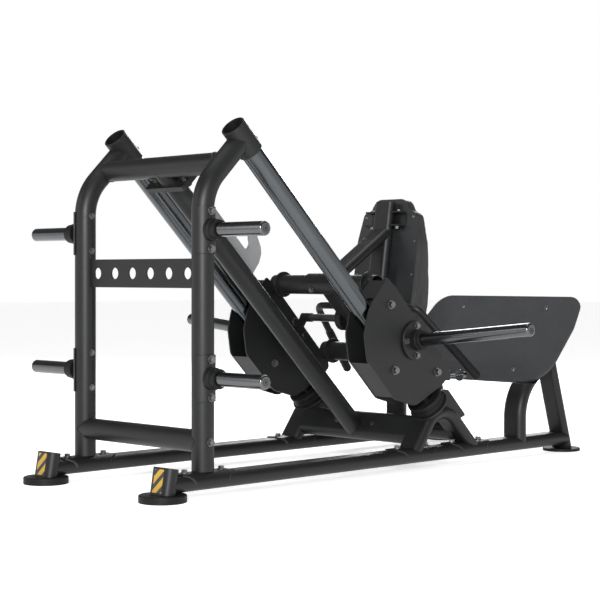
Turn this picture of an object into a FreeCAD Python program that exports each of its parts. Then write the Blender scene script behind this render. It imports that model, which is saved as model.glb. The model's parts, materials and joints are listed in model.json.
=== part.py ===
"""Plate-loaded 45 degree leg press.

A padded carriage with two loading horns rides on two inclined guide rails and is pushed
away from a fixed footplate.  Millimetres, +Z up, origin on the floor under the middle of
the machine; +X points to the footplate, +Y to the user's left.

The sheet "Sizes" holds the driving dimensions.  Places along X are counted from the rear
uprights.  Places on the slope are (along, above): down the guide rail from the carriage's
datum, and square to the rail from the rail's axis.
"""
import FreeCAD
import Part
import Sketcher
import math
import os
from collections import namedtuple
from FreeCAD import Placement, Rotation, Vector

SIZES = [
    ("upright_x", -907.0, "rear upright axis along X"),
    ("track_half", 327.5, "guide rail axis from the middle plane"),
    ("pipe_radius", 38.0, "outer radius of the main round tubes"),
    ("pipe_wall", 4.0, "wall of the main tubes"),
    ("rail_top", 1381.0, "height where the guide rail axis meets the upright axis"),
    ("rail_slope", 45.0, "guide rail slope, degrees"),
    ("carriage_datum", 976.5, "carriage datum, down the rail from the upright axis"),
    ("upright_corner", 1030.5, "height where the two straights of an upright would meet"),
    ("upright_bend", 185.0, "bend radius of the uprights"),
    ("socket_radius", 44.5, "outer radius of the rail sockets"),
    ("socket_length", 119.0, "length of the rail sockets"),
    ("socket_clearance", 0.2, "gap between a guide rail and its socket"),
    ("base_width", 100.0, "width of the flat oval base tube"),
    ("base_height", 53.0, "height of the flat oval base tube"),
    ("base_axis", 54.5, "height of the base tube axis"),
    ("saddle_plate", 5.0, "thickness of the folded base saddles"),
    ("foot_radius", 80.0, "radius of the rear rubber feet"),
    ("foot_height", 25.0, "height of the rear rubber feet"),
    ("front_foot_radius", 78.0, "radius of the front feet"),
    ("front_foot_height", 12.0, "height of the front feet"),
    ("member_width", 120.0, "width of the flat oval cross member"),
    ("member_thick", 50.0, "thickness of the cross member and the arches"),
    ("arch_bend", 100.0, "bend radius of the arches"),
    ("spine_drop", 122.4, "spine axis below the guide rail plane"),
    ("hook_thick", 12.0, "thickness of the catch hook plate"),
    ("saddle_radius", 45.0, "outer radius of the brace's saddle"),
    ("pad_tube_width", 90.0, "width of the flat oval pad tubes"),
    ("pad_tube_thick", 40.0, "thickness of the flat oval pad tubes"),
    ("pad_tube_wall", 3.0, "wall of the pad tubes and handles"),
    ("plate_thick", 6.0, "thickness of the housing plates"),
    ("cover_thick", 3.0, "thickness of the housing covers"),
    ("housing_gap", 88.0, "clear width between two housing plates"),
    ("roller_half_width", 28.0, "half the width of a guide roller"),
    ("roller_above", 85.3, "axis of the upper rollers above the rail axis"),
    ("roller_below", 71.3, "axis of the lower rollers below the rail axis"),
    ("rail_clearance", 0.35, "gap between a roller's throat and its rail"),
    ("axle_radius", 8.0, "radius of the roller axles"),
    ("axle_clearance", 0.06, "radial clearance of a roller on its axle"),
    ("horn_radius", 24.15, "radius of the plate horns"),
    ("horn_tilt", 5.7, "upward tilt of the loading horns, degrees"),
    ("footplate_thick", 12.0, "thickness of the footplate"),
    ("footplate_tilt", 48.5, "footplate tilt from the floor, degrees"),
    ("ladder_radius", 19.0, "radius of the cross tubes behind the footplate"),
    ("handle_radius", 14.0, "radius of the handle tube"),
    ("grip_radius", 17.5, "radius of the rubber grips"),
    ("shaft_radius", 15.0, "radius of the catch shaft"),
    ("catch_thick", 16.0, "thickness of the catch arm"),
    ("pad_lean", 8.5, "lean of the back pad from upright, degrees"),
    ("board_thick", 15.0, "thickness of the back board"),
    ("pad_thick", 104.0, "greatest thickness of the back pad"),
    ("seat_thick", 58.0, "thickness of the seat pad"),
]

doc = FreeCAD.newDocument("leg_press")
sheet = doc.addObject("Spreadsheet::Sheet", "Sizes")
for row, (alias, number, note) in enumerate(SIZES, start=1):
    sheet.set(f"A{row}", alias)
    sheet.set(f"B{row}", str(number))
    sheet.set(f"C{row}", note)
    sheet.setAlias(f"B{row}", alias)
doc.recompute()
size = {alias: float(sheet.get(alias)) for alias, _, _ in SIZES}

Section = namedtuple("Section", "width thick wall")
PIPE = Section("pipe_radius", None, "pipe_wall")
BASE = Section("base_width", "base_height", "pipe_wall")
ARCH = Section("base_width", "member_thick", "pipe_wall")
MEMBER = Section("member_width", "member_thick", "pipe_wall")
PAD_TUBE = Section("pad_tube_width", "pad_tube_thick", "pad_tube_wall")
HANDLE = Section("handle_radius", None, "pad_tube_wall")
LADDER = Section("ladder_radius", None, "pad_tube_wall")

SIDES = (("left", 1), ("right", -1))
X_AXIS, Y_AXIS, Z_AXIS = Vector(1, 0, 0), Vector(0, 1, 0), Vector(0, 0, 1)
TRACK = size["track_half"]
HALF_BASE = size["base_width"] / 2
HALF_GAP = size["housing_gap"] / 2
SADDLE_TOP = size["base_axis"] + size["base_height"] / 2 + size["saddle_plate"]
BASE_TOP = size["base_axis"] + size["base_height"] / 2
slope = math.radians(size["rail_slope"])
DOWNHILL = Vector(math.cos(slope), 0, -math.sin(slope))
OFF_RAIL = Vector(math.sin(slope), 0, math.cos(slope))
nodes = []


# ---------------------------------------------------------------- places and directions
def at(x, y, z):
    """A point from its place ahead of the rear uprights."""
    return Vector(size["upright_x"] + x, y, z)


def on_slope(along, above, y):
    """A point from its place on the slope."""
    start = at(0, y, size["rail_top"])
    return start + DOWNHILL * (size["carriage_datum"] + along) + OFF_RAIL * above


def leaning(degrees_from_up):
    """A direction in the XZ plane that leans from +Z towards +X."""
    a = math.radians(degrees_from_up)
    return Vector(math.sin(a), 0, math.cos(a))


def facing(point, local_z, local_x):
    """A placement at point, with the given local Z and X directions."""
    return Placement(point, Rotation(local_x, local_z.cross(local_x), local_z, "ZXY"))


def slope_plane(y):
    """Local X down the slope, local Y off the rail, local Z towards -Y."""
    return facing(on_slope(0, 0, y), -Y_AXIS, DOWNHILL)


# ------------------------------------------------------------------------ sketch helpers
def new_body(name):
    return doc.addObject("PartDesign::Body", name)


def new_sketch(body, name, plane="XY_Plane"):
    """A sketch on one of the body's own origin planes."""
    sketch = body.newObject("Sketcher::SketchObject", name)
    support = next(p for p in body.Origin.OriginFeatures if p.Role == plane)
    sketch.AttachmentSupport = [(support, "")]
    sketch.MapMode = "FlatFace"
    return sketch


def constrain(sketch, expression, *terms):
    number = sketch.addConstraint(Sketcher.Constraint(*terms))
    sketch.setExpression(f"Constraints[{number}]", expression)


def add_circle(sketch, radius, x=0.0, y=0.0, expression=None):
    circle = sketch.addGeometry(Part.Circle(Vector(x, y, 0), Z_AXIS, radius))
    if expression:
        constrain(sketch, expression, "Radius", circle, radius)


def add_oval(sketch, section, inset=None, outset=None):
    """A flat oval, wide along the sketch's X; a cell can move it inwards or outwards."""
    r = size[section.thick] / 2
    radius = f"Sizes.{section.thick} / 2"
    if inset:
        r, radius = r - size[inset], radius + f" - Sizes.{inset}"
    if outset:
        r, radius = r + size[outset], radius + f" + Sizes.{outset}"
    c = (size[section.width] - size[section.thick]) / 2
    circle = Part.Circle(Vector(c, 0, 0), Z_AXIS, r)
    right = sketch.addGeometry(Part.ArcOfCircle(circle, -math.pi / 2, math.pi / 2))
    circle = Part.Circle(Vector(-c, 0, 0), Z_AXIS, r)
    left = sketch.addGeometry(Part.ArcOfCircle(circle, math.pi / 2, 3 * math.pi / 2))
    top = sketch.addGeometry(Part.LineSegment(Vector(c, r, 0), Vector(-c, r, 0)))
    under = sketch.addGeometry(Part.LineSegment(Vector(-c, -r, 0), Vector(c, -r, 0)))
    for ends in ((right, 2, top, 1), (left, 1, top, 2), (left, 2, under, 1), (right, 1, under, 2)):
        sketch.addConstraint(Sketcher.Constraint("Tangent", *ends))
    for arc in (right, left):
        sketch.addConstraint(Sketcher.Constraint("PointOnObject", arc, 3, -1))
    constrain(sketch, radius, "Radius", right, r)
    half = f"(Sizes.{section.width} - Sizes.{section.thick}) / 2"
    constrain(sketch, half, "DistanceX", -1, 1, right, 3, c)
    constrain(sketch, half, "DistanceX", left, 3, -1, 1, c)


def add_section(sketch, section, hollow):
    if section.thick:
        add_oval(sketch, section)
        if hollow:
            add_oval(sketch, section, section.wall)
        return
    radius = size[section.width]
    add_circle(sketch, radius, expression=f"Sizes.{section.width}")
    if hollow:
        inner = f"Sizes.{section.width} - Sizes.{section.wall}"
        add_circle(sketch, radius - size[section.wall], expression=inner)


def add_outline(sketch, corners):
    """A closed outline; a corner is (x, y), or (x, y, radius) for a rounded one."""
    ends = []
    for i, corner in enumerate(corners):
        here = Vector(corner[0], corner[1], 0)
        if len(corner) == 2:
            ends.append((here, here))
            continue
        before = Vector(*corners[i - 1][:2], 0) - here
        after = Vector(*corners[(i + 1) % len(corners)][:2], 0) - here
        half = before.getAngle(after) / 2
        cut = corner[2] / math.tan(half)
        bisector = (before.normalize() + after.normalize()).normalize()
        middle = here + bisector * (corner[2] / math.sin(half) - corner[2])
        start, stop = here + before * cut, here + after * cut
        sketch.addGeometry(Part.Arc(start, middle, stop))
        ends.append((start, stop))
    for i, (_, start) in enumerate(ends):
        stop = ends[(i + 1) % len(ends)][0]
        if start.distanceToPoint(stop) > 1e-6:
            sketch.addGeometry(Part.LineSegment(start, stop))


# --------------------------------------------------------------------------- body makers
def pad(body, sketch, length, expression=None, both_ways=False):
    feature = body.newObject("PartDesign::Pad", body.Name + "_pad")
    feature.Profile = sketch
    feature.Length = length
    if expression:
        feature.setExpression("Length", expression)
    feature.Midplane = both_ways
    body.Tip = feature


def plate(name, corners, thick_cell, place, holes=(), both_ways=False):
    """A flat plate: an outline on the local XY plane with round holes, padded along Z."""
    body = new_body(name)
    sketch = new_sketch(body, name + "_outline")
    add_outline(sketch, corners)
    for x, y, radius in holes:
        add_circle(sketch, radius, x, y)
    pad(body, sketch, size[thick_cell], f"Sizes.{thick_cell}", both_ways)
    body.Placement = place
    return body


def tube(name, section, start, stop, local_x=Y_AXIS, hollow=True):
    """A straight tube between two points."""
    body = new_body(name)
    sketch = new_sketch(body, name + "_section")
    add_section(sketch, section, hollow)
    pad(body, sketch, start.distanceToPoint(stop))
    body.Placement = facing(start, (stop - start).normalize(), local_x)
    return body


def bent_tube(name, section, steps, place, hollow=True):
    """A tube that leaves the local origin along Z, with its section's width along X.

    A step is the length of a straight, or (radius, degrees) for a bend in the local YZ
    plane, positive towards +Y.
    """
    body = new_body(name)
    path = new_sketch(body, name + "_path", "YZ_Plane")
    point, heading = Vector(), 0.0
    for step in steps:
        if isinstance(step, tuple):
            radius, turn = step[0], math.radians(step[1])
            side = math.copysign(1, turn)
            out = Vector(math.cos(heading), -math.sin(heading), 0) * side
            centre = point + out * radius
            middle = centre - Rotation(Z_AXIS, -math.degrees(turn / 2)).multVec(out) * radius
            stop = centre - Rotation(Z_AXIS, -math.degrees(turn)).multVec(out) * radius
            path.addGeometry(Part.Arc(point, middle, stop))
            heading += turn
        else:
            stop = point + Vector(math.sin(heading), math.cos(heading), 0) * step
            path.addGeometry(Part.LineSegment(point, stop))
        point = stop
    section_sketch = new_sketch(body, name + "_section")
    add_section(section_sketch, section, hollow)
    pipe = body.newObject("PartDesign::AdditivePipe", name + "_pipe")
    pipe.Profile = section_sketch
    pipe.Spine = (path, [f"Edge{i + 1}" for i in range(len(steps))])
    body.Tip = pipe
    body.Placement = place
    return body


def turned(name, profile, place):
    """A solid of revolution about local Z; the profile is an outline of (radius, height)."""
    body = new_body(name)
    sketch = new_sketch(body, name + "_profile", "XZ_Plane")
    add_outline(sketch, profile)
    feature = body.newObject("PartDesign::Revolution", name + "_turn")
    feature.Profile = sketch
    feature.ReferenceAxis = (sketch, ["V_Axis"])
    feature.Angle = 360
    body.Tip = feature
    body.Placement = place
    return body


def rod(name, radius_cell, start, stop):
    """A round bar whose radius is a cell."""
    bar = doc.addObject("Part::Cylinder", name)
    bar.setExpression("Radius", f"Sizes.{radius_cell}")
    bar.Height = start.distanceToPoint(stop)
    bar.Placement = Placement(start, Rotation(Z_AXIS, stop - start))
    return bar


def block(name, x_range, y_range, z_range):
    """A box between places counted from the uprights."""
    box = doc.addObject("Part::Box", name)
    box.Length = x_range[1] - x_range[0]
    box.Width = y_range[1] - y_range[0]
    box.Height = z_range[1] - z_range[0]
    box.Placement = Placement(at(x_range[0], y_range[0], z_range[0]), Rotation())
    return box


def cut(name, base, *tools):
    """What is left of base outside the tools, as a coped tube end is cut."""
    for number, tool in enumerate(tools, start=1):
        step = doc.addObject("Part::Cut", f"{name}_cope{number}")
        step.Base = base
        step.Tool = tool
        base = step
    return base


def joined(name, *pieces):
    whole = doc.addObject("Part::MultiFuse", name + "_weld")
    whole.Shapes = list(pieces)
    return whole


def node(label, *pieces):
    """One sub-part; several pieces stay separate solids in it."""
    if len(pieces) == 1:
        sub_part = pieces[0]
    else:
        sub_part = doc.addObject("Part::Compound", label + "_set")
        sub_part.Links = list(pieces)
    sub_part.Label = label
    nodes.append(sub_part)
    return sub_part


def hex_bolt(name, point, direction, width=22.0, shank=None):
    """A hexagon head on its washer, seated at point; shank is (radius cell, length)."""
    head = doc.addObject("Part::Prism", name + "_head")
    head.Polygon = 6
    head.Circumradius = width / 2
    head.Height = width * 0.42
    washer_height = 2.5
    head.Placement = Placement(point + direction * washer_height, Rotation(Z_AXIS, direction))
    washer = doc.addObject("Part::Cylinder", name + "_washer")
    washer.Radius = width * 0.64
    washer.Height = washer_height
    washer.Placement = Placement(point, Rotation(Z_AXIS, direction))
    pieces = [head, washer]
    if shank:
        pieces.append(rod(name + "_shank", shank[0], point - direction * shank[1], point))
    return joined(name, *pieces)


# ------------------------------------------------------------------------ the rear frame
def upright(side, hollow):
    radius, bend = size["upright_bend"], size["rail_slope"]
    tangent = radius * math.tan(math.radians(bend) / 2)
    first = size["upright_corner"] - SADDLE_TOP - tangent
    second = (size["rail_top"] - size["upright_corner"]) * math.cos(slope) - tangent
    name = f"upright_{'left' if side > 0 else 'right'}_{'tube' if hollow else 'solid'}"
    place = facing(at(0, side * TRACK, SADDLE_TOP), Z_AXIS, -Y_AXIS)
    return bent_tube(name, PIPE, [first, (radius, bend), second], place, hollow)


socket_start = -788.8
socket_end = socket_start + size["socket_length"]
upright_solids, socket_solids, sockets = [], [], []
for side_name, side in SIDES:
    top = on_slope(socket_start, 0, side * TRACK)
    envelope = rod(f"socket_solid_{side_name}", "socket_radius", top,
                   on_slope(socket_end, 0, side * TRACK))
    socket_solids.append(envelope)
    inner = size["pipe_radius"] + size["socket_clearance"]
    outer, length = size["socket_radius"], size["socket_length"]
    ring = [(inner, 0), (outer, 0, 2), (outer, length, 2), (inner, length)]
    sockets.append(turned(f"socket_{side_name}", ring, facing(top, DOWNHILL, Y_AXIS)))
    solid = upright(side, hollow=False)
    upright_solids.append(solid)
    coped = cut(f"upright_{side_name}", upright(side, hollow=True), envelope)
    node(f"upright_{side_name}", coped)
node("rail_sockets", *sockets)

CROSS_X, CROSS_Z = 89.4, 1119.5
LOW_CROSS_Z = 184.8
for label, x, z in (("top_cross_tube", CROSS_X, CROSS_Z), ("lower_cross_tube", 0, LOW_CROSS_Z)):
    whole = tube(label + "_tube", PIPE, at(x, -TRACK, z), at(x, TRACK, z), X_AXIS)
    node(label, cut(label, whole, *upright_solids))

PLATE_Z, PLATE_HALF_HEIGHT, HOLE_PITCH, HOLE_RADIUS = 746.5, 50.0, 100.0, 20.5
half_span = TRACK - size["pipe_radius"]
outline = [(-half_span, -PLATE_HALF_HEIGHT), (half_span, -PLATE_HALF_HEIGHT),
           (half_span, PLATE_HALF_HEIGHT), (-half_span, PLATE_HALF_HEIGHT)]
holes = [((i - 2.5) * HOLE_PITCH, 0, HOLE_RADIUS) for i in range(6)]
node("perforated_plate", plate("perforated_plate_body", outline, "plate_thick",
                               facing(at(0, 0, PLATE_Z), X_AXIS, Y_AXIS), holes, True))

# --------------------------------------------------------- base rails, feet and saddles
POST_X, POST_LEAN, POST_TOP = -172.0, 10.0, 107.0
LEG_X, LEG_LEAN = 1993.0, -17.0
post_up, leg_up = leaning(POST_LEAN), leaning(LEG_LEAN)
LEG_FOOT = size["front_foot_height"]


def post_point(z, y):
    return at(POST_X + (z - size["foot_height"]) * math.tan(math.radians(POST_LEAN)), y, z)


def leg_point(z, y):
    return at(LEG_X + (z - LEG_FOOT) * math.tan(math.radians(LEG_LEAN)), y, z)


FOOTPLATE_X, FOOTPLATE_Z = 1744.0, 300.5
tilt = math.radians(size["footplate_tilt"])
PLATE_UP = Vector(math.cos(tilt), 0, math.sin(tilt))
PLATE_FACE = Vector(-math.sin(tilt), 0, math.cos(tilt))


def footplate_place(depth):
    """Local X across the machine, local Y up the footplate, local Z towards the user."""
    corner = at(FOOTPLATE_X, 0, FOOTPLATE_Z) - PLATE_FACE * depth
    return facing(corner, PLATE_FACE, -Y_AXIS)


below_floor = block("below_feet", (-400, 2300), (-500, 500), (-200, size["foot_height"]))
below_front = block("below_front_feet", (1600, 2300), (-500, 500), (-200, LEG_FOOT))
front_space = doc.addObject("Part::Box", "in_front_of_footplate")
front_space.Length, front_space.Width, front_space.Height = 1000, 1000, 600
front_space.Placement = footplate_place(size["footplate_thick"]).multiply(
    Placement(Vector(-500, 0, 0), Rotation()))
LEDGE_X, LEDGE_Z = 1753.0, 295.0
above_ledge = block("above_footplate_edge", (1500, LEDGE_X), (-500, 500), (LEDGE_Z, 700))
ledge_slab = block("footplate_edge_ledge", (1500, LEDGE_X), (-500, 500), (LEDGE_Z - 4, LEDGE_Z))

posts, feet, base_solids, saddle_solids = [], [], [], []
front_legs, curved_legs, leg_solids = [], [], []
for side_name, side in SIDES:
    y = side * TRACK
    post = {}
    for kind in ("tube", "solid"):
        whole = tube(f"foot_post_{side_name}_{kind}", BASE, post_point(0, y),
                     post_point(POST_TOP, y), hollow=kind == "tube")
        post[kind] = cut(f"foot_post_{side_name}_{kind}_trim", whole, below_floor)
    top = post_point(POST_TOP, y)
    cap = tube(f"post_cap_{side_name}", BASE, top, top + post_up * size["cover_thick"], hollow=False)
    posts += [post["tube"], cap]

    leg_solid = tube(f"front_leg_{side_name}_solid", PAD_TUBE, leg_point(0, y), leg_point(500, y),
                     hollow=False)
    leg_solids.append(leg_solid)
    leg = tube(f"front_leg_{side_name}_tube", PAD_TUBE, leg_point(0, y), leg_point(500, y))
    front_legs.append(cut(f"front_leg_{side_name}", leg, below_front, front_space))

    ends = at(POST_X + 5, y, size["base_axis"]), leg_point(size["base_axis"], y)
    base_solids.append(tube(f"base_{side_name}_solid", BASE, *ends, hollow=False))
    rail = tube(f"base_{side_name}_tube", BASE, *ends)
    node(f"base_rail_{side_name}", cut(f"base_rail_{side_name}", rail, post["solid"], leg_solid))

    for kind, x, y_sign, radius, height in (
            ("rear", POST_X, side, size["foot_radius"], size["foot_height"]),
            ("front", LEG_X - 5, side, size["front_foot_radius"], size["front_foot_height"])):
        edge = min(4.0, height / 4)
        profile = [(0, 0), (radius, 0, edge / 2), (radius, height, edge), (0, height)]
        feet.append(turned(f"{kind}_foot_{side_name}", profile,
                           Placement(at(x, y_sign * TRACK, 0), Rotation())))
node("rear_foot_posts", *posts)
node("rubber_feet", *feet)

# Folded saddle plates that the uprights and the arches stand on.
ARCH_REAR_X, ARCH_FRONT_X, SADDLE_HALF_LENGTH, SADDLE_BOLT = 1040.0, 1357.0, 112.0, 80.0
SADDLE_DEPTH = 34.0
saddles = []
saddle_half_width = size["base_width"] / 2 + size["saddle_plate"] + 1
for side_name, side in SIDES:
    solid = new_body(f"saddle_{side_name}_solid")
    sketch = new_sketch(solid, solid.Name + "_section")
    add_oval(sketch, BASE, outset="saddle_plate")
    pad(solid, sketch, ARCH_FRONT_X + 2 * SADDLE_HALF_LENGTH)
    solid.Placement = facing(at(-SADDLE_HALF_LENGTH, side * TRACK, size["base_axis"]), X_AXIS, Y_AXIS)
    saddle_solids.append(solid)
    for number, x in enumerate((0.0, ARCH_REAR_X, ARCH_FRONT_X)):
        name = f"saddle_{side_name}_{number + 1}"
        centre = at(x, side * TRACK, SADDLE_TOP - SADDLE_DEPTH)
        long, short = SADDLE_HALF_LENGTH, SADDLE_HALF_LENGTH * 0.62
        wide, narrow = saddle_half_width, saddle_half_width * 0.55
        hexagon = [(-long, -narrow), (-short, -wide), (short, -wide), (long, -narrow),
                   (long, narrow), (short, wide), (-short, wide), (-long, narrow)]
        blank = new_body(name + "_blank")
        blank_sketch = new_sketch(blank, name + "_plan")
        add_outline(blank_sketch, hexagon)
        pad(blank, blank_sketch, SADDLE_DEPTH)
        blank.Placement = Placement(centre, Rotation())
        shell = doc.addObject("Part::Common", name + "_skin")
        shell.Base, shell.Tool = blank, solid
        saddles.append(cut(name, shell, base_solids[SIDES.index((side_name, side))]))
node("base_saddles", *saddles)

# ------------------------------------------------------------ arches and cross members
ARCH_CROWN_Z, ARCH_REAR_ANGLE, ARCH_FRONT_ANGLE = 210.0, 54.0, 45.0
rise = ARCH_CROWN_Z - BASE_TOP
rear_run = rise / math.sin(math.radians(ARCH_REAR_ANGLE))
front_run = rise / math.sin(math.radians(ARCH_FRONT_ANGLE))
rear_corner_x = ARCH_REAR_X + rise / math.tan(math.radians(ARCH_REAR_ANGLE))
front_corner_x = ARCH_FRONT_X - rise / math.tan(math.radians(ARCH_FRONT_ANGLE))
bend = size["arch_bend"]
rear_tangent = bend * math.tan(math.radians(ARCH_REAR_ANGLE) / 2)
front_tangent = bend * math.tan(math.radians(ARCH_FRONT_ANGLE) / 2)
FOOT_SPARE = 30.0
arch_up = leaning(90 - ARCH_REAR_ANGLE)
arch_steps = [rear_run + FOOT_SPARE - rear_tangent, (bend, ARCH_REAR_ANGLE),
              front_corner_x - rear_corner_x - rear_tangent - front_tangent,
              (bend, ARCH_FRONT_ANGLE), front_run + FOOT_SPARE - front_tangent]
arches, arch_solids = [], []
for side_name, side in SIDES:
    start = at(ARCH_REAR_X, side * TRACK, BASE_TOP) - arch_up * FOOT_SPARE
    place = facing(start, arch_up, -Y_AXIS)
    ovals = {}
    for kind in ("tube", "solid"):
        ovals[kind] = bent_tube(f"arch_{side_name}_{kind}", ARCH, arch_steps, place, kind == "tube")
    arch_solids.append(ovals["solid"])
    index = SIDES.index((side_name, side))
    arches.append(cut(f"arch_{side_name}", ovals["tube"], saddle_solids[index]))
node("arches", *arches)

MEMBER_X, MEMBER_Z, MEMBER_TUBE_X, MEMBER_TUBE_Z = 1088.5, 145.0, 1313.0, 128.0
member_ends = at(MEMBER_X, -TRACK, MEMBER_Z), at(MEMBER_X, TRACK, MEMBER_Z)
member_solid = tube("cross_member_solid", MEMBER, *member_ends, arch_up, hollow=False)
member = tube("cross_member_tube", MEMBER, *member_ends, arch_up)
second = tube("second_member_tube", PIPE, at(MEMBER_TUBE_X, -TRACK, MEMBER_TUBE_Z),
              at(MEMBER_TUBE_X, TRACK, MEMBER_TUBE_Z), X_AXIS)
second_solid = tube("second_member_solid", PIPE, at(MEMBER_TUBE_X, -TRACK, MEMBER_TUBE_Z),
                    at(MEMBER_TUBE_X, TRACK, MEMBER_TUBE_Z), X_AXIS, hollow=False)
node("cross_members", cut("cross_member", member, *arch_solids),
     cut("second_member", second, *arch_solids))

# ------------------------------------------------------------- the spine and its hook
SPINE = -size["spine_drop"]
SPINE_TOP, SPINE_END, FLANGE_START, FLANGE_THICK = -728.0, 668.0, -672.0, 10.0
FLANGE_HALF_WIDTH, FLANGE_HALF_HEIGHT, FLANGE_BOLT = 105.0, 45.0, 80.0
cross_solid = tube("top_cross_solid", PIPE, at(CROSS_X, -100, CROSS_Z), at(CROSS_X, 100, CROSS_Z),
                   X_AXIS, hollow=False)
stub = tube("spine_stub", PIPE, on_slope(SPINE_TOP, SPINE, 0), on_slope(FLANGE_START, SPINE, 0))
outline = [(-FLANGE_HALF_WIDTH, -FLANGE_HALF_HEIGHT, 8), (FLANGE_HALF_WIDTH, -FLANGE_HALF_HEIGHT, 8),
           (FLANGE_HALF_WIDTH, FLANGE_HALF_HEIGHT, 8), (-FLANGE_HALF_WIDTH, FLANGE_HALF_HEIGHT, 8)]
flanges = []
for number in range(2):
    flange = new_body(f"spine_flange_{number + 1}")
    sketch = new_sketch(flange, flange.Name + "_outline")
    add_outline(sketch, outline)
    pad(flange, sketch, FLANGE_THICK)
    start = on_slope(FLANGE_START + number * FLANGE_THICK, SPINE, 0)
    flange.Placement = facing(start, DOWNHILL, Y_AXIS)
    flanges.append(flange)
node("spine_flanges", cut("spine_stub_coped", stub, cross_solid), *flanges)
spine_ends = on_slope(FLANGE_START + 2 * FLANGE_THICK, SPINE, 0), on_slope(SPINE_END, SPINE, 0)
spine_solid = tube("spine_solid", PIPE, *spine_ends, hollow=False)
node("spine_tube", cut("spine_coped", tube("spine_pipe", PIPE, *spine_ends), member_solid))

HOOK = [(-560, -95), (-560, -57, 8), (-545, -45), (-258, -45, 4), (-246, -42, 6), (-242, -29, 12),
        (-247, -13, 8), (-265, -1, 6), (-284, 24, 20), (-279, 45, 6), (-243, 32, 30), (-201, 16, 30),
        (-182, -1, 20), (-167, -31, 30), (-160, -84, 20), (-160, -95)]
hook = plate("catch_hook_plate", HOOK, "hook_thick", slope_plane(0), both_ways=True)
node("catch_hook", cut("catch_hook_coped", hook, spine_solid))

STOP_X, STOP_TOP, BUFFER_TOP = 1312.0, 255.0, 284.5
post = tube("stop_post_tube", PAD_TUBE, at(STOP_X, 0, MEMBER_TUBE_Z), at(STOP_X, 0, STOP_TOP - 4))
post_cap = tube("stop_post_cap", PAD_TUBE, at(STOP_X, 0, STOP_TOP - 4), at(STOP_X, 0, STOP_TOP),
                hollow=False)
node("stop_post", cut("stop_post_coped", post, second_solid), post_cap)
buffer_height = BUFFER_TOP - STOP_TOP
profile = [(0, 0), (19, 0), (19, buffer_height * 0.4, 2), (16, buffer_height * 0.5),
           (19, buffer_height * 0.6, 2), (19, buffer_height, 4), (0, buffer_height)]
node("stop_buffer", turned("stop_buffer_rubber", profile, Placement(at(STOP_X, 0, STOP_TOP), Rotation())))

# ------------------------------------------------------- guide rails and their lower ends
RAIL_START, RAIL_END, DISC_THICK, DISC_RADIUS = -700.0, 634.0, 10.0, 78.0
BUMPER_START, BUMPER_RADIUS = 590.7, 70.0
GUSSET = [(644, 0), (644, 74), (656, 99, 10), (678, 115, 10), (826, 114.5, 6), (812, 92, 6),
          (812, 50), (740, 30)]
brackets, bumpers = [], []
for index, (side_name, side) in enumerate(SIDES):
    y = side * TRACK
    node(f"guide_rail_{side_name}", tube(f"guide_rail_{side_name}_pipe", PIPE,
                                         on_slope(RAIL_START, 0, y), on_slope(RAIL_END, 0, y)))
    profile = [(0, 0), (DISC_RADIUS, 0, 2), (DISC_RADIUS, DISC_THICK, 2), (0, DISC_THICK)]
    disc = turned(f"rail_disc_{side_name}", profile, facing(on_slope(RAIL_END, 0, y), DOWNHILL, Y_AXIS))
    gusset = new_body(f"rail_gusset_{side_name}")
    sketch = new_sketch(gusset, gusset.Name + "_outline")
    add_outline(sketch, GUSSET)
    pad(gusset, sketch, 10, both_ways=True)
    gusset.Placement = slope_plane(y)
    brackets += [cut(f"rail_disc_{side_name}_coped", disc, arch_solids[index], member_solid),
                 cut(f"rail_gusset_{side_name}_coped", gusset, arch_solids[index], second_solid)]
    bore, rim, depth = size["pipe_radius"] + 0.3, BUMPER_RADIUS, RAIL_END - BUMPER_START
    profile = [(bore, 0), (rim, 0, 4), (rim, depth * 0.46, 2), (rim - 6, depth * 0.5),
               (rim, depth * 0.54, 2), (rim, depth, 2), (bore, depth)]
    bumpers.append(turned(f"bumper_{side_name}", profile,
                          facing(on_slope(BUMPER_START, 0, y), DOWNHILL, Y_AXIS)))
node("rail_end_brackets", *brackets)
node("bumpers", *bumpers)

# ------------------------------------------------------------ footplate and what holds it
CURVE_X, CURVE_START, CURVE_RADIUS, CURVE_TURN, CURVE_RUN = 1673.0, 155.0, 200.0, 55.0, 60.0
for side_name, side in SIDES:
    index = SIDES.index((side_name, side))
    start = at(CURVE_X, side * TRACK, size["base_axis"])
    steps = [CURVE_START - size["base_axis"], (CURVE_RADIUS, CURVE_TURN), CURVE_RUN]
    whole = bent_tube(f"curved_leg_{side_name}_tube", BASE, steps, facing(start, Z_AXIS, -Y_AXIS))
    solid = bent_tube(f"curved_leg_{side_name}_solid", BASE, steps, facing(start, Z_AXIS, -Y_AXIS),
                      hollow=False)
    leg = cut(f"curved_leg_{side_name}", whole, base_solids[index], front_space, above_ledge)
    ledge = doc.addObject("Part::Common", f"curved_leg_{side_name}_ledge")
    ledge.Base, ledge.Tool = solid, ledge_slab
    ledge = cut(f"curved_leg_{side_name}_ledge_trim", ledge, front_space)
    curved_legs.append(joined(f"curved_leg_{side_name}_capped", leg, ledge))
node("curved_legs", *curved_legs)
node("front_legs", *front_legs)

FOOTPLATE = [(-414, 0, 120), (414, 0, 120), (421, 298, 200), (390, 463, 78), (-390, 463, 78),
             (-421, 298, 200)]
node("footplate", plate("footplate_body", FOOTPLATE, "footplate_thick",
                        footplate_place(size["footplate_thick"])))

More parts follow.
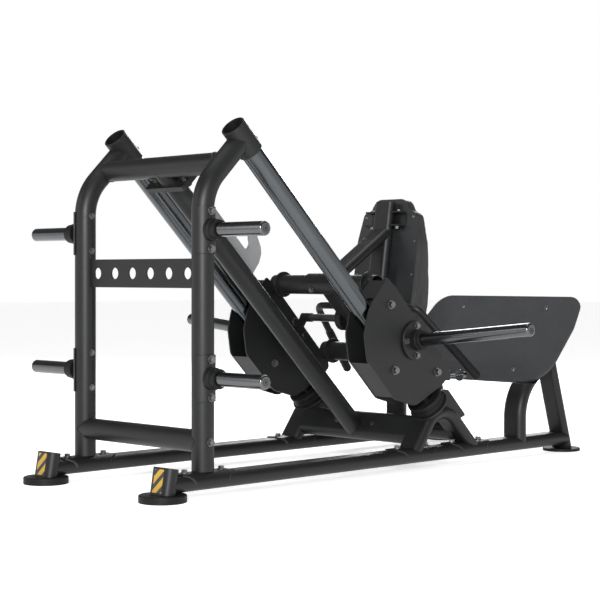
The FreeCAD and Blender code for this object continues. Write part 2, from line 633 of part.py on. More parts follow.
STIFFENER_Y, RUNG_DEPTH, RUNG_END = 230.0, 46.0, 277.0
plate_back = footplate_place(size["footplate_thick"])
frame_pieces, rung_solids = [], []
for number, (up, half) in enumerate(((150.0, TRACK), (300.0, RUNG_END))):
    ends = [plate_back.multVec(Vector(x, up, -RUNG_DEPTH)) for x in (-half, half)]
    rung_solids.append(tube(f"rung_{number + 1}_solid", LADDER, *ends, X_AXIS, hollow=False))
    rung = tube(f"rung_{number + 1}_tube", LADDER, *ends, X_AXIS)
    frame_pieces.append(cut(f"rung_{number + 1}", rung, *leg_solids) if number == 0 else rung)
for side_name, side in SIDES:
    # The stiffener's outline is (up the plate, behind the plate).
    outline = [(30, 0), (430, 0), (400, 62, 20), (60, 62, 20)]
    place = plate_back.multiply(facing(Vector(side * STIFFENER_Y, 0, 0), X_AXIS, Y_AXIS))
    turned_over = place.multiply(Placement(Vector(), Rotation(X_AXIS, 180)))
    rib = plate(f"stiffener_{side_name}", outline, "plate_thick", turned_over, both_ways=True)
    frame_pieces.append(cut(f"stiffener_{side_name}_coped", rib, *rung_solids))
node("footplate_frame", *frame_pieces)

# ----------------------------------------------------------------- plate storage horns
HORN_HEIGHTS, HORN_TIP, HORN_SADDLE_THICK, HORN_SADDLE_HALF = (397.0, 891.0), 637.0, 5.0, 78.0
SPIGOT = 20.0
horn_root = TRACK + size["pipe_radius"] + HORN_SADDLE_THICK
horns, collars, horn_saddles = [], [], []
for index, (side_name, side) in enumerate(SIDES):
    out = Y_AXIS * side
    for number, z in enumerate(HORN_HEIGHTS):
        name = f"storage_{side_name}_{number + 1}"
        root, tip = at(0, side * horn_root, z), at(0, side * HORN_TIP, z)
        r, reach = size["horn_radius"], HORN_TIP - horn_root
        profile = [(0, 0), (SPIGOT, 0), (SPIGOT, 46), (r, 46), (r, reach, 7), (0, reach)]
        horns.append(turned(name + "_horn", profile, facing(root, out, Z_AXIS)))
        bore = SPIGOT + 0.15
        profile = [(bore, 0.5), (38, 0.5), (38, 20, 3), (34, 22), (34, 46, 4), (bore, 46)]
        collars.append(turned(name + "_collar", profile, facing(root, out, Z_AXIS)))
        pipe = size["pipe_radius"] + 0.2
        ring = turned(name + "_band", [(pipe, 0), (pipe + HORN_SADDLE_THICK - 0.2, 0, 1),
                                       (pipe + HORN_SADDLE_THICK - 0.2, 2 * HORN_SADDLE_HALF, 1),
                                       (pipe, 2 * HORN_SADDLE_HALF)],
                      Placement(at(0, side * TRACK, z - HORN_SADDLE_HALF), Rotation()))
        inner_half = block(name + "_inner_half", (-60, 60), (-70, 8) if side > 0 else (-8, 70),
                           (z - 100, z + 100))
        inner_half.Placement.Base.y += side * TRACK
        horn_saddles.append(cut(name + "_saddle", ring, inner_half, upright_solids[index]))
node("storage_horns", *horns)
node("storage_collars", *collars)
node("storage_saddles", *horn_saddles)

# ----------------------------------------------------------------------- frame bolts
frame_bolts = []
for side_name, side in SIDES:
    y = side * TRACK
    out = Y_AXIS * side
    wall = saddle_half_width - 1
    for number, x in enumerate((0.0, ARCH_REAR_X, ARCH_FRONT_X)):
        for end in (-1, 1):
            spot = at(x + end * SADDLE_BOLT, y, SADDLE_TOP)
            frame_bolts.append(hex_bolt(f"saddle_bolt_{side_name}_{number}{end}", spot, Z_AXIS))
    for z in HORN_HEIGHTS:
        for end in (-1, 1):
            spot = at(0, side * horn_root, z + end * 63)
            frame_bolts.append(hex_bolt(f"horn_bolt_{side_name}_{int(z)}{end}", spot, out))
            spot = at(0, side * (TRACK - size["pipe_radius"]), z + end * 63)
            frame_bolts.append(hex_bolt(f"horn_nut_{side_name}_{int(z)}{end}", spot, -out, 18))
    spot = at(0, side * (TRACK + size["pipe_radius"]), LOW_CROSS_Z)
    frame_bolts.append(hex_bolt(f"cross_bolt_{side_name}", spot, out))
    face = at(MEMBER_X, side * 95, MEMBER_Z) - Vector(arch_up.z, 0, -arch_up.x) * 25
    frame_bolts.append(hex_bolt(f"member_bolt_{side_name}", face, -Vector(arch_up.z, 0, -arch_up.x), 18))
    spot = on_slope(socket_end - 20, size["socket_radius"], y)
    frame_bolts.append(hex_bolt(f"socket_bolt_{side_name}", spot, OFF_RAIL, 16))
    spot = on_slope(FLANGE_START, SPINE, side * FLANGE_BOLT)
    frame_bolts.append(hex_bolt(f"flange_bolt_{side_name}", spot, -DOWNHILL))
    spot = on_slope(FLANGE_START + 2 * FLANGE_THICK, SPINE, side * FLANGE_BOLT)
    frame_bolts.append(hex_bolt(f"flange_nut_{side_name}", spot, DOWNHILL))
    for up in (60, 400):
        spot = footplate_place(0).multVec(Vector(side * STIFFENER_Y, up, 0))
        screw = turned(f"footplate_screw_{side_name}_{up}", [(0, 0), (11, 0), (9, 2.5, 1), (0, 2.5)],
                       facing(spot, PLATE_FACE, Y_AXIS))
        frame_bolts.append(screw)
node("frame_bolts", *frame_bolts)

# ------------------------------------------------------------- the carriage's housings
HOUSING = [(86, 144, 6), (92, 17, 30), (108, -26, 30), (146, -90, 60), (225, -148, 40),
           (435, -149, 40), (537, -91, 60), (588, 45, 40), (598, 83, 20), (598, 127, 10),
           (577, 143, 16), (147, 151, 20)]
UPPER_ROLLERS, LOWER_ROLLER = (170.0, 539.0), 359.0
PLATE_MID = HALF_GAP + size["plate_thick"] / 2
PLATE_FACE_Y = HALF_GAP + size["plate_thick"]
ROLLERS = (("upper_rear", UPPER_ROLLERS[0], size["roller_above"]),
           ("upper_front", UPPER_ROLLERS[1], size["roller_above"]),
           ("lower", LOWER_ROLLER, -size["roller_below"]))
PIN_Z, PIN_START, PIN_PLATE_X, PIN_RADIUS = 347.0, 1196.0, 1212.0, 5.0
hole = size["axle_radius"] + 0.1
covers = []
for side_name, side in SIDES:
    plates = []
    for where, offset in (("outer", side * PLATE_MID), ("inner", -side * PLATE_MID)):
        holes = [(along, above, hole) for _, along, above in ROLLERS]
        plates.append(plate(f"housing_{side_name}_{where}", HOUSING, "plate_thick",
                            slope_plane(side * TRACK + offset), holes, both_ways=True))
    node(f"housing_plates_{side_name}", *plates)
    end_cover = [(-HALF_GAP, 0), (HALF_GAP, 0), (HALF_GAP, 92), (-HALF_GAP, 92)]
    floor = [(-HALF_GAP, 0), (HALF_GAP, 0), (HALF_GAP, -186), (-HALF_GAP, -186)]
    covers.append(plate(f"end_cover_{side_name}", end_cover, "cover_thick",
                        facing(on_slope(92, 42, side * TRACK), DOWNHILL, Y_AXIS)))
    covers.append(plate(f"floor_cover_{side_name}", floor, "cover_thick",
                        facing(on_slope(240, -147.5, side * TRACK), OFF_RAIL, Y_AXIS)))

# The pull pin's bracket is a small channel between the right housing's plates.
y_range = -TRACK - HALF_GAP, -TRACK + HALF_GAP
channel = block("pin_bracket_blank", (1172, PIN_PLATE_X + 4), y_range, (334, 372))
inside = block("pin_bracket_inside", (1100, PIN_PLATE_X), (y_range[0] + 4, y_range[1] - 4), (300, 400))
pin_hole = doc.addObject("Part::Cylinder", "pin_bracket_bore")
pin_hole.Radius, pin_hole.Height = PIN_RADIUS + 0.06, 60
pin_hole.Placement = Placement(at(1190, -TRACK, PIN_Z), Rotation(Z_AXIS, X_AXIS))
covers.append(cut("pin_bracket", channel, inside, pin_hole))
bore = PIN_RADIUS + 0.06
covers.append(turned("pin_bush", [(bore, 0), (10, 0), (10, 24, 2), (bore, 24)],
                     facing(at(PIN_PLATE_X + 4, -TRACK, PIN_Z), X_AXIS, Y_AXIS)))
node("housing_covers", *covers)

# ------------------------------------------------------------- tubes across the carriage
TOP_TUBE, LOWER_TUBE = (905.0, 703.0), (1185.0, 429.0)
COLLAR_RADIUS, COLLAR_HEIGHT, COLLAR_Y = 51.0, 8.0, 231.0
middle_face = TRACK - PLATE_FACE_Y
cross_solids = {}
for label, (x, z) in (("carriage_top_tube", TOP_TUBE), ("carriage_lower_tube", LOWER_TUBE)):
    ends = at(x, -middle_face, z), at(x, middle_face, z)
    cross_solids[label] = tube(label + "_solid", PIPE, *ends, X_AXIS, hollow=False)
    pieces = [tube(label + "_pipe", PIPE, *ends, X_AXIS)]
    bore, rim, height = size["pipe_radius"], COLLAR_RADIUS, COLLAR_HEIGHT
    for side_name, side in SIDES:
        # Two bolted flanges join the cross tube to the stub on the housing.
        profile = [(bore, 0), (rim, 0, 1), (rim, height, 2), (bore, height)]
        place = facing(at(x, side * COLLAR_Y, z), Y_AXIS * side, X_AXIS)
        pieces.append(turned(f"{label}_{side_name}_flange", profile, place))
    node(label, *pieces)

# A flat oval beam along the slope joins the middles of the two cross tubes.
BEAM_RAISE = OFF_RAIL * 6
beam_ends = [at(x, 0, z) + BEAM_RAISE for x, z in (TOP_TUBE, LOWER_TUBE)]
beam_solid = tube("centre_beam_solid", PAD_TUBE, *beam_ends, hollow=False)
CATCH_ALONG, CATCH_ABOVE, CATCH_ARM, CATCH_REST = 341.0, 168.0, 200.0, 20.0
catch_centre = on_slope(CATCH_ALONG, CATCH_ABOVE, 0)
catch_hole = doc.addObject("Part::Cylinder", "centre_beam_bore")
catch_hole.Radius, catch_hole.Height = size["shaft_radius"] + 1, 200
catch_hole.Placement = Placement(catch_centre - Y_AXIS * 100, Rotation(Z_AXIS, Y_AXIS))
node("centre_beam", cut("centre_beam_coped", tube("centre_beam_tube", PAD_TUBE, *beam_ends),
                        *cross_solids.values(), catch_hole))

# --------------------------------------------------------------------- the loading horns
HORN_ALONG, HORN_ABOVE, FLANGE_RADIUS, FLANGE_DEPTH = 360.0, 82.0, 74.0, 11.0
HORN_REACH, FLANGE_BOLT_CIRCLE = 928.0, 56.0
outer_face = TRACK + PLATE_FACE_Y
horn_centre = on_slope(HORN_ALONG, HORN_ABOVE, 0)
horn_tilt = math.radians(size["horn_tilt"])
horn_flanges, horn_collars, horn_starts = [], [], {}
for side_name, side in SIDES:
    face = Vector(horn_centre.x, side * outer_face, horn_centre.z)
    out = Y_AXIS * side
    profile = [(0, 0), (FLANGE_RADIUS, 0, 2), (FLANGE_RADIUS, FLANGE_DEPTH, 3), (0, FLANGE_DEPTH)]
    disc = turned(f"horn_flange_{side_name}", profile, facing(face, out, X_AXIS))
    horn_flanges.append(disc)
    for number in range(4):
        a = math.radians(90 * number)
        spot = Vector(face.x, side * middle_face, face.z)
        spot += Vector(math.cos(a), 0, math.sin(a)) * FLANGE_BOLT_CIRCLE
        profile = [(0, 0), (17, 0), (17, 12, 6), (0, 12)]
        horn_flanges.append(turned(f"horn_nut_{side_name}_{number + 1}", profile,
                                   facing(spot, -out, X_AXIS)))
    blank = doc.addObject("Part::Cylinder", f"horn_flange_{side_name}_space")
    blank.Radius, blank.Height = FLANGE_RADIUS, 60
    blank.Placement = Placement(face + out * (FLANGE_DEPTH - 60), Rotation(Z_AXIS, out))
    along = Vector(0, side * math.cos(horn_tilt), math.sin(horn_tilt))
    root = face + out * (FLANGE_DEPTH - 6) + Z_AXIS * ((FLANGE_DEPTH - 6) * math.tan(horn_tilt))
    length = (HORN_REACH - abs(root.y)) / math.cos(horn_tilt)
    r = size["horn_radius"]
    profile = [(0, 0), (SPIGOT, 0), (SPIGOT, 42), (r, 42), (r, length, 8), (0, length)]
    bar = turned(f"loading_horn_{side_name}_bar", profile, facing(root, along, X_AXIS))
    node(f"loading_horn_{side_name}", cut(f"loading_horn_{side_name}_coped", bar, blank))
    bore = SPIGOT + 0.15
    profile = [(bore, 0), (38.5, 0), (38.5, 28, 3), (35, 30), (35, 42, 4), (bore, 42)]
    collar = turned(f"horn_collar_{side_name}_rubber", profile, facing(root, along, X_AXIS))
    horn_collars.append(cut(f"horn_collar_{side_name}", collar, blank))
node("horn_flanges", *horn_flanges)
node("horn_collars", *horn_collars)

# --------------------------------------------------- guide rollers, each on its own axle
GROOVE_EDGE, HUB_RADIUS = 22.0, 15.0


def roller(name, along, above, y):
    """A roller turning about local Z, with a groove that follows the rail."""
    from_rail = abs(above)
    groove = size["pipe_radius"] + size["rail_clearance"]
    rim = from_rail - math.sqrt(groove ** 2 - GROOVE_EDGE ** 2)
    half, hub_half = size["roller_half_width"], HALF_GAP - 1
    body = new_body(name + "_body")
    sketch = new_sketch(body, name + "_profile", "XZ_Plane")
    bore = size["axle_radius"] + size["axle_clearance"]
    points = [(rim, GROOVE_EDGE), (rim, half), (HUB_RADIUS, half), (HUB_RADIUS, hub_half),
              (bore, hub_half), (bore, -hub_half), (HUB_RADIUS, -hub_half), (HUB_RADIUS, -half),
              (rim, -half), (rim, -GROOVE_EDGE)]
    for a, b in zip(points, points[1:]):
        sketch.addGeometry(Part.LineSegment(Vector(*a, 0), Vector(*b, 0)))
    sketch.addGeometry(Part.Arc(Vector(rim, -GROOVE_EDGE, 0), Vector(from_rail - groove, 0, 0),
                                Vector(rim, GROOVE_EDGE, 0)))
    feature = body.newObject("PartDesign::Revolution", name + "_turn")
    feature.Profile = sketch
    feature.ReferenceAxis = (sketch, ["V_Axis"])
    feature.Angle = 360
    body.Tip = feature
    body.Placement = facing(on_slope(along, above, y), Y_AXIS, X_AXIS)
    return body


axles = []
for side_name, side in SIDES:
    for where, along, above in ROLLERS:
        node(f"roller_{where}_{side_name}", roller(f"roller_{where}_{side_name}", along, above,
                                                   side * TRACK))
        head = on_slope(along, above, side * outer_face)
        nut = on_slope(along, above, side * middle_face)
        reach = outer_face - middle_face
        axles.append(hex_bolt(f"axle_{where}_{side_name}", head, Y_AXIS * side, 26,
                              ("axle_radius", reach + 0.0)))
        axles.append(hex_bolt(f"axle_nut_{where}_{side_name}", nut, Y_AXIS * -side, 24))
node("roller_axles", *axles)

# ----------------------------------------------------------- what carries the back pad
POST_BASE_X, POST_BASE_Z, PAD_POST_TOP = 1160.1, 429.0, 1031.0
pad_up = leaning(size["pad_lean"])
pad_forward = leaning(90 + size["pad_lean"])


def on_post(z):
    return at(POST_BASE_X + (z - POST_BASE_Z) * math.tan(math.radians(size["pad_lean"])), 0, z)


post = tube("pad_post_tube", PAD_TUBE, on_post(POST_BASE_Z), on_post(PAD_POST_TOP))
post_solid = tube("pad_post_solid", PAD_TUBE, on_post(POST_BASE_Z), on_post(PAD_POST_TOP),
                  hollow=False)
post_end = on_post(PAD_POST_TOP)
post_lid = tube("pad_post_cap", PAD_TUBE, post_end, post_end + pad_up * 3, hollow=False)
brace_start, brace_end = at(*(TOP_TUBE[0], 0, TOP_TUBE[1])), on_post(914)
brace = tube("pad_brace_tube", PAD_TUBE, brace_start, brace_end)
brace_solid = tube("pad_brace_solid", PAD_TUBE, brace_start, brace_end, hollow=False)
ring_in, ring_out = size["pipe_radius"] + 0.2, size["saddle_radius"]
seat_ring = turned("brace_saddle_ring", [(ring_in, -80), (ring_out, -80), (ring_out, 80), (ring_in, 80)],
                   facing(brace_start, Y_AXIS, X_AXIS))
lower_half = block("brace_saddle_space", (TOP_TUBE[0] - 60, TOP_TUBE[0] + 60), (-90, 90),
                   (TOP_TUBE[1] - 60, TOP_TUBE[1] + 12))
brace_saddle = cut("brace_saddle", seat_ring, lower_half)
saddle_space = tube("brace_saddle_envelope", Section("saddle_radius", None, None), brace_start - Y_AXIS * 80,
                    brace_start + Y_AXIS * 80, X_AXIS, hollow=False)
node("pad_frame", brace_saddle, cut("pad_post", post, cross_solids["carriage_lower_tube"], beam_solid), post_lid,
     cut("pad_brace", brace, saddle_space, post_solid))

BOARD_X, BOARD_Z = 1258.0, 871.0
board_rear = at(BOARD_X, 0, BOARD_Z)
BRACKET_HALF, BRACKET_HEIGHT, BRACKET_LOW, BRACKET_WALL, BRACKET_DEPTH = 93.0, 59.0, 61.0, 5.0, 46.0
bracket_place = facing(board_rear + pad_up * BRACKET_LOW, pad_up, Y_AXIS)
channel = new_body("pad_channel")
sketch = new_sketch(channel, "pad_channel_section", "YZ_Plane")
depth, wall, height = BRACKET_DEPTH, BRACKET_WALL, BRACKET_HEIGHT
add_outline(sketch, [(0, 0, 8), (depth, 0), (depth, wall), (wall, wall, 3), (wall, height - wall, 3),
                     (depth, height - wall), (depth, height), (0, height, 8)])
pad(channel, sketch, 2 * BRACKET_HALF, both_ways=True)
channel.Placement = bracket_place
node("pad_bracket", cut("pad_bracket_coped", channel, post_solid, brace_solid))

# ------------------------------------------------------------------ back board and pad
# Outlines in (across, up the pad) from the board's reference point.
BACK = [(-150, -400, 60), (150, -400, 60), (166, -190, 300), (166, 0, 200), (141, 122, 26),
        (97, 134, 20), (97, 178, 44), (-97, 178, 44), (-97, 134, 20), (-141, 122, 26),
        (-166, 0, 200), (-166, -190, 300)]
PAD_BOTTOM = -454.0
# The pad's side in (out from the board, up): thin at the shoulders, full behind the waist.
PAD_SIDE = [(0, PAD_BOTTOM), (102, PAD_BOTTOM, 12), (104, -290, 250), (80, -132, 250), (56, -17, 300),
            (37, 110, 250), (34, 178, 8), (0, 178)]
board_place = facing(board_rear, pad_forward, Y_AXIS)
pad_outline = [(-150, PAD_BOTTOM, 60), (150, PAD_BOTTOM, 60)] + BACK[2:]
pad_space = doc.addObject("Part::Cylinder", "pad_clearance")
pad_space.Radius, pad_space.Height = size["pipe_radius"] + 3, 700
pad_space.Placement = Placement(at(LOWER_TUBE[0], -350, LOWER_TUBE[1]), Rotation(Z_AXIS, Y_AXIS))
node("back_board", plate("back_board_body", BACK, "board_thick", board_place))
front_place = board_place.multiply(Placement(Vector(0, 0, size["board_thick"]), Rotation()))
pad_blank = plate("back_pad_blank", pad_outline, "pad_thick", front_place)
side_profile = new_body("back_pad_side")
sketch = new_sketch(side_profile, "back_pad_side_outline")
add_outline(sketch, PAD_SIDE)
pad(side_profile, sketch, 400, both_ways=True)
side_profile.Placement = facing(board_rear + pad_forward * size["board_thick"], -Y_AXIS, pad_forward)
cushion = doc.addObject("Part::Common", "back_pad_body")
cushion.Base, cushion.Tool = pad_blank, side_profile
node("back_pad", cut("back_pad_scooped", cushion, pad_space))

# ------------------------------------------------------------------------------ the seat
SEAT_TOP, SEAT_BOARD, ARM_Z = 398.0, 12.0, 306.0
SEAT_START, SEAT_END, ARM_START, ARM_END, STUB_X = 1268.0, 1462.0, 1196.0, 1430.0, 1216.0
arm = tube("seat_arm_tube", PAD_TUBE, at(ARM_START, 0, ARM_Z), at(ARM_END, 0, ARM_Z))
arm_solid = tube("seat_arm_solid", PAD_TUBE, at(ARM_START, 0, ARM_Z), at(ARM_END, 0, ARM_Z),
                 hollow=False)
STUB_TOP = 404.0
stub = tube("seat_stub_tube", PAD_TUBE, at(STUB_X, 0, ARM_Z), at(STUB_X, 0, STUB_TOP))
caps = [tube(f"seat_arm_cap_{x:.0f}", PAD_TUBE, at(x, 0, ARM_Z), at(x + 3, 0, ARM_Z), hollow=False)
        for x in (ARM_START - 3, ARM_END)]
seat_plan = [(SEAT_START, -115, 20), (SEAT_END - 10, -105, 60), (SEAT_END - 10, 105, 60),
             (SEAT_START, 115, 20)]
arm_top = ARM_Z + size["pad_tube_thick"] / 2
board = new_body("seat_board")
sketch = new_sketch(board, "seat_board_outline")
add_outline(sketch, seat_plan)
seat_bottom = SEAT_TOP - size["seat_thick"]
pad(board, sketch, seat_bottom - arm_top)
board.Placement = Placement(at(0, 0, arm_top), Rotation())
node("seat_frame", arm, *caps, cut("seat_stub", stub, arm_solid, cross_solids["carriage_lower_tube"]),
     board)
seat_outline = [(SEAT_START, -130, 24), (SEAT_END, -122, 70), (SEAT_END, 122, 70),
                (SEAT_START, 130, 24)]
node("seat_pad", plate("seat_pad_body", seat_outline, "seat_thick",
                       Placement(at(0, 0, seat_bottom), Rotation())))

# -------------------------------------------------------------------------- the handles
HANDLE_X, HANDLE_Z, HANDLE_HALF, HANDLE_BEND, GRIP_LENGTH = 1129.0, 616.0, 273.0, 45.0, 245.0
corner, end = at(HANDLE_X, HANDLE_HALF, HANDLE_Z), at(1400, 358, 335)
leg = end - corner
reach = leg.Length
heading = Vector(leg.x, 0, leg.z).normalize()
turn = math.degrees(Y_AXIS.getAngle(leg))
tangent = HANDLE_BEND * math.tan(math.radians(turn) / 2)
run = reach - tangent - 8
steps = [run, (HANDLE_BEND, turn), 2 * (HANDLE_HALF - tangent), (HANDLE_BEND, turn), run]
back = (leg * -1).normalize()
start = corner - back * (tangent + run)
# Seen from the left cap the tube first runs back up the machine, then turns to the right.
to_right = (-Y_AXIS - back * (-Y_AXIS).dot(back)).normalize()
handle_place = facing(start, back, to_right.cross(back))
handle = bent_tube("handle_tube", HANDLE, steps, handle_place)
handle_solid = bent_tube("handle_solid", HANDLE, steps, handle_place, hollow=False)
lug = block("handle_lug_blank", (HANDLE_X, HANDLE_X + 70), (-28, 28), (HANDLE_Z - 11, HANDLE_Z + 11))
node("handles", handle, cut("handle_lug", lug, post_solid, handle_solid))
grips = []
for side_name, side in SIDES:
    direction = Vector(leg.x, side * leg.y, leg.z).normalize()
    tip = Vector(end.x, side * end.y, end.z)
    place = facing(tip - direction * GRIP_LENGTH, direction, direction.cross(Z_AXIS).normalize())
    bore, grip, length = size["handle_radius"] + 0.2, size["grip_radius"], GRIP_LENGTH
    profile = [(bore, 0), (grip - 1, 0, 2), (grip, 20), (grip, length - 6, 5), (bore, length - 6)]
    cap = [(0, length - 5.5), (bore - 1, length - 5.5), (bore - 1, length, 4), (0, length)]
    grips += [turned(f"grip_{side_name}", profile, place), turned(f"grip_cap_{side_name}", cap, place)]
node("handle_grips", *grips)

# --------------------------------------------------------------------- the safety catch
EAR, BUSH_FACE, BUSH_RADIUS = 6.0, 50.0, 47.5
bore = size["shaft_radius"] + 0.06
sleeves = []
for side_name, side in SIDES:
    inward = Y_AXIS * -side
    wall = Vector(catch_centre.x, side * middle_face, catch_centre.z)
    ear = new_body(f"catch_ear_{side_name}")
    sketch = new_sketch(ear, ear.Name + "_outline")
    add_outline(sketch, [(0, -50, 6), (34, -50, 8), (22, 19, 16), (-22, 19, 16)])
    add_circle(sketch, bore)
    pad(ear, sketch, EAR, both_ways=True)
    ear.Placement = facing(wall + inward * (EAR / 2), -Y_AXIS, DOWNHILL)
    profile = [(bore, 0), (18.5, 0), (18.5, 50, 2), (bore, 50)]
    sleeve = turned(f"catch_sleeve_{side_name}", profile, facing(wall + inward * EAR, inward, X_AXIS))
    profile = [(bore, 20), (BUSH_RADIUS, 20), (BUSH_RADIUS, BUSH_FACE, 2), (bore, BUSH_FACE)]
    bush = turned(f"catch_bush_{side_name}", profile, facing(catch_centre, Y_AXIS * side, X_AXIS))
    sleeves += [ear, sleeve, cut(f"catch_bush_{side_name}_coped", bush, beam_solid)]
node("catch_sleeves", *sleeves)

half = middle_face - 1
shaft_ends = [Vector(catch_centre.x, y, catch_centre.z) for y in (-half, half)]
r = size["shaft_radius"]
cone_profile = [(r, 64), (r + 3, 64), (27, 56), (27, BUSH_FACE + 0.5), (r, BUSH_FACE + 0.5)]
cone = turned("catch_cone", cone_profile, facing(catch_centre, Y_AXIS, X_AXIS))
node("catch_shaft", joined("catch_shaft_whole", rod("catch_bar", "shaft_radius", *shaft_ends), cone))

# One arm on the right of the beam carries the pin that drops into the hook.
rest = math.radians(CATCH_REST)
arm_direction = DOWNHILL * math.cos(rest) - OFF_RAIL * math.sin(rest)
arm_outline = [(-28, -28, 27), (28, -28, 27), (60, -18, 20), (CATCH_ARM + 18, -18, 17),
               (CATCH_ARM + 18, 18, 17), (60, 18, 20), (28, 28, 27), (-28, 28, 27)]
ARM_Y, PIN_END = -60.0, 14.0
arm_middle = Vector(catch_centre.x, ARM_Y, catch_centre.z)
arm = plate("catch_arm", arm_outline, "catch_thick", facing(arm_middle, -Y_AXIS, arm_direction),
            [(0, 0, size["shaft_radius"])], True)
pin_at = catch_centre + arm_direction * CATCH_ARM
hook_pin = rod("catch_pin", "shaft_radius", pin_at + Y_AXIS * ARM_Y, pin_at + Y_AXIS * PIN_END)
node("catch_pawl", joined("catch_pawl_whole", arm, hook_pin))

# --------------------------------------------------------------- the spring-loaded pull pin
pin_profile = [(0, 0), (PIN_RADIUS, 0, 1), (PIN_RADIUS, 124), (23, 124, 1), (23, 130, 1),
               (8, 132), (8, 137), (11.5, 138, 1), (11.5, 160, 3), (0, 160)]
node("release_pin", turned("release_pin_rod", pin_profile,
                           facing(at(PIN_START, -TRACK, PIN_Z), X_AXIS, Y_AXIS)))

# ------------------------------------------------------------------------ carriage bolts
carriage_bolts = []
for side_name, side in SIDES:
    out = Y_AXIS * side
    face = Vector(horn_centre.x, side * (outer_face + FLANGE_DEPTH), horn_centre.z)
    for number in range(4):
        a = math.radians(90 * number)
        spot = face + Vector(math.cos(a), 0, math.sin(a)) * FLANGE_BOLT_CIRCLE
        carriage_bolts.append(hex_bolt(f"horn_bolt_{side_name}_{number + 1}", spot, out, 20))
    for end, up in ((1, height), (-1, 0)):
        spot = bracket_place.multVec(Vector(side * 68, depth - 24, up))
        carriage_bolts.append(hex_bolt(f"bracket_bolt_{side_name}_{up:.0f}", spot, pad_up * end, 18))
away = leaning(-120)
spot = at(TOP_TUBE[0], 42, TOP_TUBE[1]) + away * size["pipe_radius"]
carriage_bolts.append(hex_bolt("brace_saddle_bolt", spot, away, 18))
node("carriage_bolts", *carriage_bolts)

# ------------------------------------------------------------------------- write the files
doc.recompute()
broken = [o.Name for o in doc.Objects if {"Invalid", "Error"} & set(o.State)]
for sub_part in nodes:
    if sub_part.Shape.isNull() or not sub_part.Shape.isValid() or not sub_part.Shape.Solids:
        broken.append(sub_part.Label)
if broken:
    raise SystemExit("failed: " + ", ".join(broken))
os.makedirs("parts", exist_ok=True)
for sub_part in nodes:
    sub_part.Shape.exportStep(f"parts/{sub_part.Label}.step")
print(len(nodes), "sub-parts written")
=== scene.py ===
"""The looks of the leg press: materials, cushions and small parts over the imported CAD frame.

Metres, +Z up, origin on the floor at the middle of the machine's box.  +X points to the
footplate and +Y to the left of the person who lies in it.
"""
import bmesh
import bpy
import json
import math
from mathutils import Matrix, Vector
from mathutils.bvhtree import BVHTree


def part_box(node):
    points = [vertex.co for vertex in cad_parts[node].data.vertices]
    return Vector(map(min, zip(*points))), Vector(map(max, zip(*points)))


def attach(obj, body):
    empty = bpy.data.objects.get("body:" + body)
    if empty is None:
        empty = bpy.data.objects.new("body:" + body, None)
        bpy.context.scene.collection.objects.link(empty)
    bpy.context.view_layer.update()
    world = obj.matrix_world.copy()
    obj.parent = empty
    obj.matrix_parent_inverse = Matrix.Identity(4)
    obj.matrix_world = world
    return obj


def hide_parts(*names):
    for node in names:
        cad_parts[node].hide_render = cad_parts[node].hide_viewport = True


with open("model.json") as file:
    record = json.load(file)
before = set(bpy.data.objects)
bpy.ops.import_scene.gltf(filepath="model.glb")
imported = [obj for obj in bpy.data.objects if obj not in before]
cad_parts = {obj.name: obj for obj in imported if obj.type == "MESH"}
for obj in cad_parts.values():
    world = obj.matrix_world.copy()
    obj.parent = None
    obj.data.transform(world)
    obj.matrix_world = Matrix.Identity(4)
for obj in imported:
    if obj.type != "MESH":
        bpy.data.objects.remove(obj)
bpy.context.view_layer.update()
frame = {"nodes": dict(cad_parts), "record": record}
scene = bpy.context.scene
MM = 0.001
COLOUR_SOCKETS = (6, 7)  # the two colours of a Mix node, which share their names with others


